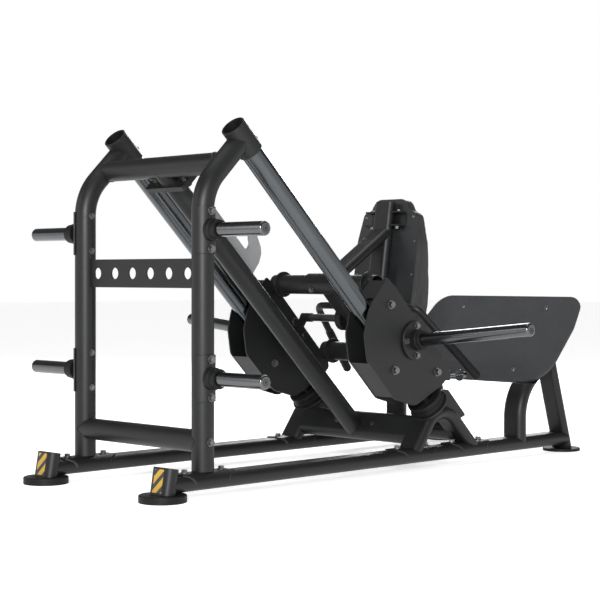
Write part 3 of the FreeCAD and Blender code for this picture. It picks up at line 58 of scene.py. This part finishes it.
# ------------------------------------------------------------------------- node helpers
class Shader:
    """A node material: a principled surface, a fine bump and softened edges."""

    def __init__(self, name, colour, roughness, metallic=0.0, specular=0.5):
        self.material = bpy.data.materials.new(name)
        self.material.use_nodes = True
        self.material.diffuse_color = (*colour, 1)
        self.tree = self.material.node_tree
        self.surface = self.tree.nodes["Principled BSDF"]
        self.surface.inputs["Metallic"].default_value = metallic
        self.surface.inputs["Specular IOR Level"].default_value = specular
        self.surface.inputs["Base Color"].default_value = (*colour, 1)
        self.surface.inputs["Roughness"].default_value = roughness
        self.colour, self.roughness = colour, roughness
        self.place = self.add("ShaderNodeTexCoord").outputs["Object"]
        self.normal = None

    def add(self, kind, **settings):
        node = self.tree.nodes.new(kind)
        for key, value in settings.items():
            if key in node.inputs:
                if hasattr(value, "is_output"):
                    self.tree.links.new(value, node.inputs[key])
                else:
                    node.inputs[key].default_value = value
            else:
                setattr(node, key, value)
        return node

    def join(self, output, socket):
        self.tree.links.new(output, self.surface.inputs[socket])

    def stretched(self, scale):
        return self.add("ShaderNodeMapping", Vector=self.place, Scale=scale).outputs["Vector"]

    def noise(self, scale, detail=2.0, place=None):
        node = self.add("ShaderNodeTexNoise", Vector=place or self.place, Scale=scale,
                        Detail=detail)
        return node.outputs["Fac"]

    def spread(self, value, low, high, start=0.3, stop=0.7):
        node = self.add("ShaderNodeMapRange", Value=value)
        for socket, number in zip(("From Min", "From Max", "To Min", "To Max"),
                                  (start, stop, low, high)):
            node.inputs[socket].default_value = number
        return node.outputs["Result"]

    def maths(self, operation, *values):
        node = self.add("ShaderNodeMath", operation=operation)
        for socket, value in zip(node.inputs, values):
            if hasattr(value, "is_output"):
                self.tree.links.new(value, socket)
            else:
                socket.default_value = value
        return node.outputs[0]

    def mixed(self, factor, first, second):
        node = self.add("ShaderNodeMix", data_type="RGBA")
        self.tree.links.new(factor, node.inputs[0])
        for socket, colour in zip(COLOUR_SOCKETS, (first, second)):
            if hasattr(colour, "is_output"):
                self.tree.links.new(colour, node.inputs[socket])
            else:
                node.inputs[socket].default_value = (*colour, 1)
        return node.outputs[2]

    def soften(self, radius):
        """Rounds the light on sharp edges, as paint does."""
        self.normal = self.add("ShaderNodeBevel", samples=4, Radius=radius).outputs["Normal"]
        self.join(self.normal, "Normal")
        return self

    def bump(self, height, distance, strength=1.0):
        node = self.add("ShaderNodeBump", Height=height, Distance=distance, Strength=strength)
        if self.normal:
            self.tree.links.new(self.normal, node.inputs["Normal"])
        self.normal = node.outputs["Normal"]
        self.join(self.normal, "Normal")
        return self

    def vary(self, scale, lightness, roughness, detail=3.0, place=None):
        """Slow changes of colour and gloss over the surface."""
        fac = self.noise(scale, detail, place)
        low = tuple(c * (1 - lightness) for c in self.colour)
        high = tuple(min(1, c * (1 + lightness)) for c in self.colour)
        self.tint = self.mixed(self.spread(fac, 0, 1), low, high)
        self.join(self.tint, "Base Color")
        self.join(self.spread(fac, self.roughness - roughness, self.roughness + roughness),
                  "Roughness")
        return self

    def worn(self, colour, radius, amount):
        """A lighter line where a coat thins over an edge."""
        geometry = self.add("ShaderNodeNewGeometry")
        bevel = self.add("ShaderNodeBevel", samples=4, Radius=radius)
        dot = self.add("ShaderNodeVectorMath", operation="DOT_PRODUCT")
        self.tree.links.new(bevel.outputs["Normal"], dot.inputs[0])
        self.tree.links.new(geometry.outputs["Normal"], dot.inputs[1])
        edge = self.spread(dot.outputs["Value"], amount, 0, 0.86, 0.995)
        self.join(self.mixed(edge, self.tint, colour), "Base Color")
        return self


def painted(name, colour, roughness, peel=1.0):
    look = Shader(name, colour, roughness, specular=0.32)
    look.vary(9, 0.12, 0.04).worn(tuple(c * 2.2 for c in colour), 1.4 * MM, 0.3)
    look.soften(1.2 * MM)
    look.bump(look.noise(700, 1), 0.12 * MM * peel, 0.45)
    look.bump(look.noise(160, 2), 0.2 * MM * peel, 0.25)
    return look.material


def chromed(name, colour, roughness, stretch):
    look = Shader(name, colour, roughness, metallic=1)
    lines = look.noise(60, 3, look.stretched(stretch))
    look.vary(5, 0.06, 0.03, place=look.stretched(stretch))
    look.soften(0.8 * MM).bump(lines, 0.01 * MM, 0.1)
    return look.material


def moulded(name, colour, roughness, grain, depth, specular=0.4):
    look = Shader(name, colour, roughness, specular=specular)
    look.vary(14, 0.18, 0.06).soften(1.0 * MM)
    look.bump(look.noise(grain, 3), depth, 0.5)
    return look.material


def anti_slip():
    look = Shader("anti_slip_coat", (0.034, 0.035, 0.0375), 0.76, specular=0.25)
    look.vary(11, 0.16, 0.06, detail=5)
    grit = look.add("ShaderNodeTexVoronoi", Vector=look.place, Scale=420).outputs["Distance"]
    sparkle = look.spread(look.noise(900, 2), 0, 1, 0.52, 0.66)
    look.join(look.mixed(sparkle, look.tint, (0.08, 0.081, 0.085)), "Base Color")
    look.soften(1.0 * MM).bump(grit, 0.5 * MM, 0.5).bump(look.noise(260, 3), 0.4 * MM, 0.4)
    return look.material


def vinyl():
    look = Shader("grained_vinyl", (0.016, 0.016, 0.0167), 0.48, specular=0.45)
    look.vary(8, 0.15, 0.06)
    cells = look.add("ShaderNodeTexVoronoi", Vector=look.place, Scale=620,
                     feature="DISTANCE_TO_EDGE").outputs["Distance"]
    creases = look.noise(34, 4)
    look.bump(look.spread(cells, 0, 1, 0, 0.35), 0.25 * MM, 0.5).bump(creases, 0.6 * MM, 0.3)
    look.surface.inputs["Sheen Weight"].default_value = 0.06
    return look.material


def hazard():
    """Yellow and black stripes that rise at 45 degrees."""
    look = Shader("hazard_film", (0.7, 0.42, 0.03), 0.42)
    split = look.add("ShaderNodeSeparateXYZ", Vector=look.place)
    slant = look.maths("ADD", split.outputs["Y"], split.outputs["Z"])
    turns = look.maths("ADD", look.maths("MULTIPLY", slant, 1 / STRIPE_PERIOD), STRIPE_PHASE)
    black = look.spread(look.maths("FRACT", turns), 0, 1, 0.56, 0.575)
    scuffs = look.spread(look.noise(60, 4), 0, 0.35, 0.5, 0.75)
    yellow = look.mixed(scuffs, (0.44, 0.26, 0.022), (0.26, 0.16, 0.04))
    look.join(look.mixed(black, yellow, (0.02, 0.02, 0.021)), "Base Color")
    look.bump(look.noise(300, 2), 0.05 * MM, 0.3)
    return look.material


STRIPE_PERIOD, STRIPE_PHASE = 46 * MM, 0.35
# How tightly the chrome's grain repeats along X, Y and Z.
RAIL_GRAIN, HORN_GRAIN = (1, 14, 1), (6, 1, 6)
LOOKS = {
    "powder_coat": painted("powder_coat_charcoal", (0.0075, 0.0078, 0.0082), 0.44),
    "guide_chrome": chromed("guide_chrome_dark", (0.1, 0.107, 0.113), 0.19, RAIL_GRAIN),
    "horn_chrome": chromed("horn_chrome_bright", (0.13, 0.134, 0.138), 0.2, HORN_GRAIN),
    "zinc": moulded("zinc_plated", (0.18, 0.18, 0.178), 0.34, 500, 0.05 * MM),
    "grey_steel": painted("grey_steel_matt", (0.2, 0.206, 0.21), 0.5, 0.7),
    "rubber": moulded("black_rubber", (0.005, 0.005, 0.0052), 0.55, 900, 0.1 * MM, 0.2),
    "dark_steel": painted("black_satin_steel", (0.009, 0.009, 0.0094), 0.4),
    "nylon": moulded("roller_nylon", (0.02, 0.02, 0.022), 0.45, 700, 0.05 * MM),
    "anti_slip": anti_slip(),
    "board": moulded("laminated_board", (0.016, 0.0167, 0.0178), 0.45, 420, 0.12 * MM),
    "upholstery": vinyl(),
}
LOOKS["zinc"].node_tree.nodes["Principled BSDF"].inputs["Metallic"].default_value = 1.0
slots = {part["node"]: part["material_slot"] for part in frame["record"]["subparts"]}
for name, obj in frame["nodes"].items():
    for slot in obj.material_slots:
        slot.material = LOOKS[slots[name]]


# ------------------------------------------------------------------------- mesh helpers
def placed(name, data):
    obj = bpy.data.objects.new(name, data)
    scene.collection.objects.link(obj)
    return obj


def new_piece(name, bm, body, slot, material=None, smooth=True):
    mesh = bpy.data.meshes.new(name)
    bmesh.ops.recalc_face_normals(bm, faces=bm.faces)
    bm.to_mesh(mesh)
    bm.free()
    for face in mesh.polygons:
        face.use_smooth = smooth
    mesh.materials.append(material or LOOKS[slot])
    obj = placed(name, mesh)
    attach(obj, body)
    return obj


def basis(origin, across, up, out):
    """A matrix from local (across, up, out) to the machine."""
    matrix = Matrix((across, up, out)).transposed().to_4x4()
    matrix.translation = origin
    return matrix


def lathe(bm, profile, place, steps=24):
    """Turns a profile of (radius, height) about local Z; a radius of 0 closes it."""
    rings = []
    for radius, height in profile:
        count = 1 if radius == 0 else steps
        rings.append([bm.verts.new(place @ Vector((radius * math.cos(math.tau * i / steps),
                                                   radius * math.sin(math.tau * i / steps),
                                                   height))) for i in range(count)])
    for low, high in zip(rings, rings[1:]):
        for i in range(steps):
            a, b = low[i % len(low)], low[(i + 1) % len(low)]
            c, d = high[(i + 1) % len(high)], high[i % len(high)]
            corners = list(dict.fromkeys((a, b, c, d)))
            if len(corners) > 2:
                bm.faces.new(corners)


def swept(bm, path, radius, sides=8, ripple=0.0):
    """A round bead along a closed path; its radius ripples as a weld does."""
    rings, side = [], None
    for i, point in enumerate(path):
        along = (path[(i + 1) % len(path)] - path[i - 1]).normalized()
        side = side or along.orthogonal()
        side = (side - along * side.dot(along)).normalized()
        third = along.cross(side)
        r = radius * (1 + ripple * math.sin(i * 1.9))
        rings.append([bm.verts.new(point + r * (side * math.cos(math.tau * k / sides)
                                                + third * math.sin(math.tau * k / sides)))
                      for k in range(sides)])
    for low, high in zip(rings, rings[1:] + rings[:1]):
        shift = min(range(sides), key=lambda s: (low[0].co - high[s].co).length)
        for k in range(sides):
            bm.faces.new((low[k], low[(k + 1) % sides], high[(k + 1 + shift) % sides],
                          high[(k + shift) % sides]))


def resampled(points, spacing):
    """Points at even spacing round a closed line."""
    edges = list(zip(points, points[1:] + points[:1]))
    total = sum((b - a).length for a, b in edges)
    count = round(total / spacing)
    found, walked, index = [], 0.0, 0
    for step in range(count):
        target = total * step / count
        while walked + (edges[index][1] - edges[index][0]).length < target:
            walked += (edges[index][1] - edges[index][0]).length
            index += 1
        a, b = edges[index]
        found.append(a.lerp(b, (target - walked) / (b - a).length))
    return found


# ------------------------------------------------------------------------------ cushions
SIDE_CAP, SIDE_BULGE, CROWN = 2 * MM, 6 * MM, 4 * MM
GLUE_LINE = 0.3 * MM
WELT_BACK = 9 * MM


def cushion(node, name, place, thick, spacing, cap, shrink):
    """A crowned pad blown up by cloth pressure from its CAD solid, flat where it is glued.

    place takes local (across, up, out) to the machine, with out 0 at the glued side.
    """
    source = frame["nodes"][node].data
    inverse = place.inverted()
    bm = bmesh.new()
    bm.from_mesh(source)
    bmesh.ops.remove_doubles(bm, verts=bm.verts, dist=0.05 * MM)
    local = [inverse @ v.co for v in bm.verts]
    low = [min(p[i] for p in local) for i in range(3)]
    high = [max(p[i] for p in local) for i in range(3)]
    middle = [(a + b) / 2 for a, b in zip(low, high)]
    for vert, p in zip(bm.verts, local):
        q = Vector(p)
        for i in (0, 1):
            half = (high[i] - low[i]) / 2
            q[i] = middle[i] + (p[i] - middle[i]) * (half - shrink / 3) / half
        q[2] = p[2] * (thick - shrink) / thick
        vert.co = place @ q
    mesh = bpy.data.meshes.new(name)
    bm.to_mesh(mesh)
    bm.free()
    obj = placed(name, mesh)
    remesh = obj.modifiers.new("remesh", "REMESH")
    remesh.mode, remesh.voxel_size = "VOXEL", spacing
    settle(obj)
    start = [v.co.copy() for v in obj.data.vertices]
    cloth = obj.modifiers.new("cloth", "CLOTH")
    cloth.settings.use_pressure = True
    cloth.settings.uniform_pressure_force = 4
    cloth.settings.effector_weights.gravity = 0
    cloth.settings.quality = 5
    cloth.point_cache.frame_start, cloth.point_cache.frame_end = 1, 20
    for step in range(1, 21):
        scene.frame_set(step)
    settle(obj)
    scene.frame_set(1)
    for vert, first in zip(obj.data.vertices, start):
        q = inverse @ first
        move = inverse @ vert.co - q
        for i, limit in enumerate((SIDE_CAP, SIDE_CAP, cap)):
            q[i] += min(max(move[i], -limit), limit)
        off_middle = (q[0] - middle[0]) / (high[0] - low[0]) * 2
        crown = CROWN * max(0, 1 - off_middle ** 2) * max(0, q[2] / thick)
        q[2] = min(max(q[2], 0.2 * MM), thick + 2 * MM) + crown
        bulge = SIDE_BULGE * math.sin(math.pi * min(max(q[2] / thick, 0), 1)) ** 0.6
        for i in (0, 1):
            q[i] += bulge * (2 * (q[i] - middle[i]) / (high[i] - low[i])) ** 5
        vert.co = place @ q
    smooth = obj.modifiers.new("smooth", "SMOOTH")
    smooth.factor, smooth.iterations = 0.5, 6
    settle(obj)
    for vert in obj.data.vertices:
        q = inverse @ vert.co
        if q[2] < GLUE_LINE:
            q[2] = GLUE_LINE
            vert.co = place @ q
    subdivide = obj.modifiers.new("subdivision", "SUBSURF")
    subdivide.levels = subdivide.render_levels = 1
    settle(obj)
    for face in obj.data.polygons:
        face.use_smooth = True
    obj.data.materials.clear()
    obj.data.materials.append(LOOKS["upholstery"])
    return obj


def settle(obj):
    """Applies the modifiers of a piece to its mesh."""
    graph = bpy.context.evaluated_depsgraph_get()
    made = bpy.data.meshes.new_from_object(obj.evaluated_get(graph))
    obj.modifiers.clear()
    obj.data = made


def welt(name, pad, place, outline, height, radius, body):
    """Piping sewn round a pad where its face joins its side band.

    height gives how far the face stands out at each place up the pad.
    """
    tree = BVHTree.FromPolygons([v.co for v in pad.data.vertices],
                                [f.vertices for f in pad.data.polygons])
    path = []
    for point in resampled([Vector((x, y, 0)) for x, y in outline], 6 * MM):
        outside = place @ Vector((point.x, point.y, height(point.y) - WELT_BACK))
        path.append(tree.find_nearest(outside)[0])
    for _ in range(3):
        path = [(path[i - 1] + path[i] * 2 + path[(i + 1) % len(path)]) / 4
                for i in range(len(path))]
    bm = bmesh.new()
    swept(bm, path, radius, sides=10)
    new_piece(name, bm, body, "upholstery")


def rounded(corners):
    """An outline with corners of (x, y, radius) in millimetres, as points in metres."""
    found = []
    count = len(corners)
    for i, (x, y, radius) in enumerate(corners):
        here = Vector((x, y))
        to_last = Vector(corners[i - 1][:2]) - here
        to_next = Vector(corners[(i + 1) % count][:2]) - here
        half = to_last.angle(to_next) / 2
        reach = min(radius / math.tan(half), 0.45 * to_last.length, 0.45 * to_next.length)
        start, stop = here + to_last.normalized() * reach, here + to_next.normalized() * reach
        for k in range(9):
            t = k / 8
            found.append((start * (1 - t) ** 2 + here * 2 * t * (1 - t) + stop * t ** 2) * MM)
    return [(p.x, p.y) for p in found]


LEAN = math.radians(8.5)
PAD_UP = Vector((math.sin(LEAN), 0, math.cos(LEAN)))
PAD_OUT = Vector((math.cos(LEAN), 0, -math.sin(LEAN)))
LEFT, AHEAD, UP = Vector((0, 1, 0)), Vector((1, 0, 0)), Vector((0, 0, 1))
BOARD_REAR = Vector((0.351, 0, 0.871))
BOARD_THICK, BACK_THICK, SEAT_THICK = 15 * MM, 104 * MM, 58 * MM
back_place = basis(BOARD_REAR + PAD_OUT * BOARD_THICK, LEFT, PAD_UP, PAD_OUT)
back_pad = cushion("back_pad", "back_cushion", back_place, BACK_THICK, 5 * MM, 9 * MM, 6 * MM)
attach(back_pad, "carriage")
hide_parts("back_pad")
BACK = [(-147, -447, 60), (147, -447, 60), (164, -190, 300), (164, 0, 200), (139, 120, 26),
        (95, 132, 20), (95, 176, 44), (-95, 176, 44), (-95, 132, 20), (-139, 120, 26),
        (-164, 0, 200), (-164, -190, 300)]
# How far the pad stands out from its board, as (up, out): full behind the waist.
BACK_SIDE = [(-454, 102), (-290, 104), (-132, 80), (-17, 56), (110, 37), (178, 34)]


def back_depth(up):
    for (low, near_out), (high, far_out) in zip(BACK_SIDE, BACK_SIDE[1:]):
        if up / MM <= high:
            part = max(0, (up / MM - low) / (high - low))
            return (near_out + (far_out - near_out) * part) * MM
    return BACK_SIDE[-1][1] * MM


welt("back_piping", back_pad, back_place, rounded(BACK), back_depth, 1.7 * MM, "carriage")

seat_low, seat_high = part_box("seat_pad")
seat_place = basis(Vector((0, 0, seat_low.z)), AHEAD, LEFT, UP)
seat_pad = cushion("seat_pad", "seat_cushion", seat_place, SEAT_THICK, 4.5 * MM, 8 * MM, 6 * MM)
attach(seat_pad, "carriage")
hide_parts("seat_pad")
near, far = seat_low.x / MM, seat_high.x / MM
SEAT = [(near + 2, -128, 24), (far - 2, -120, 70), (far - 2, 120, 70), (near + 2, 128, 24)]
welt("seat_piping", seat_pad, seat_place, rounded(SEAT), lambda up: SEAT_THICK, 1.7 * MM,
     "carriage")


# --------------------------------------------------------------------------- small parts
def board_screws():
    """Domed screws round the edge of the back board."""
    bm = bmesh.new()
    rear = basis(BOARD_REAR, LEFT, PAD_UP, -PAD_OUT)
    dome = [(0, 1.3), (2.0, 1.3), (2.3, 2.3), (3.4, 1.9), (4.6, 0.9), (4.9, 0), (0, 0)]
    profile = [(r * MM, h * MM) for r, h in dome]
    for across, up in ((129, 104), (148, 4), (149, -130), (142, -250), (137, -350)):
        for side in (1, -1):
            lathe(bm, profile, rear @ Matrix.Translation((side * across * MM, up * MM, 0)), 16)
    new_piece("board_screws", bm, "carriage", "zinc")


board_screws()

POST_LEAN, POST_X, POST_BASE = math.radians(10), -1.079, 25 * MM
POST_HALF_DEPTH, TRACK = 26.5 * MM, 327.5 * MM
HORN_FACE = 4 * MM
FILM = (23.4, 2.5, 80)  # half its width, its bottom and its top up the post, millimetres
# Painted shade on the horn ends, as (radius, height) in millimetres: a thin dark ring for a
# pressed groove and a dark hexagon for a socket recess.
GROOVE_SHADE_RING = [(9, -0.3), (9, 0.25), (11, 0.25), (11, -0.3)]
SOCKET_SHADE_HEX = [(0, 0.2), (3.4, 0.2), (5, 0.5), (5.6, -0.3)]


def hazard_films():
    """A striped film on the rear face of each rear foot post."""
    bm = bmesh.new()
    up = Vector((math.sin(POST_LEAN), 0, math.cos(POST_LEAN)))
    out = Vector((-math.cos(POST_LEAN), 0, math.sin(POST_LEAN)))
    for side in (1, -1):
        centre = Vector((POST_X, side * TRACK, POST_BASE)) + out * POST_HALF_DEPTH
        place = basis(centre, LEFT, up, out)
        half, bottom, top = FILM
        outline = rounded([(-half, bottom, 2), (half, bottom, 2), (half, top, 2),
                           (-half, top, 2)])
        rings = [[bm.verts.new(place @ Vector((x * (1 - inset / half), y, height * MM)))
                  for x, y in outline] for inset, height in ((0, -0.2), (0, 0.15), (0.3, 0.3))]
        for low, high in zip(rings, rings[1:]):
            for i in range(len(low)):
                bm.faces.new((low[i], low[(i + 1) % len(low)],
                              high[(i + 1) % len(low)], high[i]))
        bm.faces.new(rings[-1])
        bm.faces.new(list(reversed(rings[0])))
    new_piece("hazard_films", bm, "frame", "powder_coat", hazard(), smooth=False)


hazard_films()


def horn_tips(horns):
    """A thin dark ring and a dark hexagon on the end of every plate horn: painted shade standing
    for a pressed groove and a hexagon socket recess.
    """
    bm = bmesh.new()
    ends = []
    for node in horns:
        groups = {}
        for vert in frame["nodes"][node].data.vertices:
            groups.setdefault((vert.co.y > 0, vert.co.z > 0.7), []).append(vert.co)
        ends += groups.values()
    for points in ends:
        side = 1 if points[0].y > 0 else -1
        tip = max(p.y * side for p in points)
        face = [p for p in points if p.y * side > tip - HORN_FACE]
        root = [p for p in points if p.y * side < min(q.y * side for q in points) + HORN_FACE]
        centre = sum(face, Vector()) / len(face)
        along = (centre - sum(root, Vector()) / len(root)).normalized()
        reach = max((p - centre).dot(along) for p in points)
        across = along.cross(UP).normalized()
        place = basis(centre + along * reach, across, along.cross(across), along)
        # Both pieces sit on the end face as thin dark discs: painted shade of a groove and a
        # recess.
        for profile, steps in ((GROOVE_SHADE_RING, 40), (SOCKET_SHADE_HEX, 6)):
            lathe(bm, [(r * MM, h * MM) for r, h in profile], place, steps)
    return bm


def cross_tube_beads():
    """Weld beads where the cross tubes meet the uprights, pipe to pipe."""
    bm = bmesh.new()
    for node in ("top_cross_tube", "lower_cross_tube"):
        low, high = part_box(node)
        middle, radius = (low + high) / 2, (high.x - low.x) / 2
        for side in (1, -1):
            path = []
            for k in range(72):
                a = math.tau * k / 72
                path.append(Vector((middle.x + radius * math.cos(a),
                                    side * (TRACK - radius * abs(math.sin(a))),
                                    middle.z + radius * math.sin(a))))
            swept(bm, path, 2.2 * MM, ripple=0.05)
    return bm


# ---------------------------------------------------------------------------- the studio
def studio():
    floor = bpy.data.meshes.new("floor")
    half = 30.0
    floor.from_pydata([(-half, -half, 0), (half, -half, 0), (half, half, 0), (-half, half, 0)],
                      [], [(0, 1, 2, 3)])
    placed("floor", floor)
    pale = Shader("studio_floor", (0.86, 0.86, 0.86), 0.7, specular=0.2)
    pale.surface.inputs["Emission Color"].default_value = (1, 1, 1, 1)
    pale.surface.inputs["Emission Strength"].default_value = 0.6
    floor.materials.append(pale.material)

    world = bpy.data.worlds.new("studio")
    scene.world = world
    world.use_nodes = True
    tree = world.node_tree
    background = tree.nodes["Background"]
    place = tree.nodes.new("ShaderNodeTexCoord")
    split = tree.nodes.new("ShaderNodeSeparateXYZ")
    ramp = tree.nodes.new("ShaderNodeValToRGB")
    tree.links.new(place.outputs["Generated"], split.inputs[0])
    tree.links.new(split.outputs["Z"], ramp.inputs[0])
    tree.links.new(ramp.outputs[0], background.inputs["Color"])
    stops = ramp.color_ramp.elements
    levels = ((0.0, 1.0), (0.2, 1.0), (0.27, 0.14), (0.8, 0.16), (0.93, 0.9))
    stops[0].position, stops[1].position = levels[0][0], levels[-1][0]
    for position, _ in levels[1:-1]:
        stops.new(position)
    for stop, (_, level) in zip(stops, levels):
        stop.color = (level, level, level, 1)
    background.inputs["Strength"].default_value = 1.0

    for name, spot, aim, size, power in (
            ("key", (-5.2, -4.6, 2.2), (0, 0, 0.5), 1.6, 480),
            ("left", (-5.0, 3.0, 3.0), (0, 0, 0.5), 2.4, 40),
            ("top", (0.5, 0.5, 5.2), (0, 0, 0.4), 3.0, 60),
            ("far", (5.0, 4.0, 3.2), (0, 0, 0.6), 2.6, 190)):
        light = bpy.data.lights.new(name, "AREA")
        light.size, light.energy = size, power
        lamp = placed(name, light)
        lamp.location = spot
        lamp.rotation_euler = (Vector(aim) - Vector(spot)).to_track_quat("-Z", "Y").to_euler()

    lens = bpy.data.cameras.new("camera")
    lens.sensor_width, lens.lens = 36, 94.6
    lens.shift_x, lens.shift_y = -0.0333, -0.0434
    lens.clip_start, lens.clip_end = 0.1, 100
    camera = placed("camera", lens)
    camera.location = (-4.3364, -4.3409, 0.7444)
    camera.rotation_euler = (math.radians(90), 0, math.radians(-44.764))
    scene.camera = camera
    scene.view_settings.view_transform = "Standard"


# Dark rings and hexagons on the horn ends: painted shade of their pressed grooves and socket
# recesses.
new_piece("storage_horn_end_shade", horn_tips(("storage_horns",)), "frame", "dark_steel")
new_piece("loading_horn_end_shade", horn_tips(("loading_horn_left", "loading_horn_right")), "carriage",
          "dark_steel")
new_piece("cross_tube_welds", cross_tube_beads(), "frame", "powder_coat")
studio()
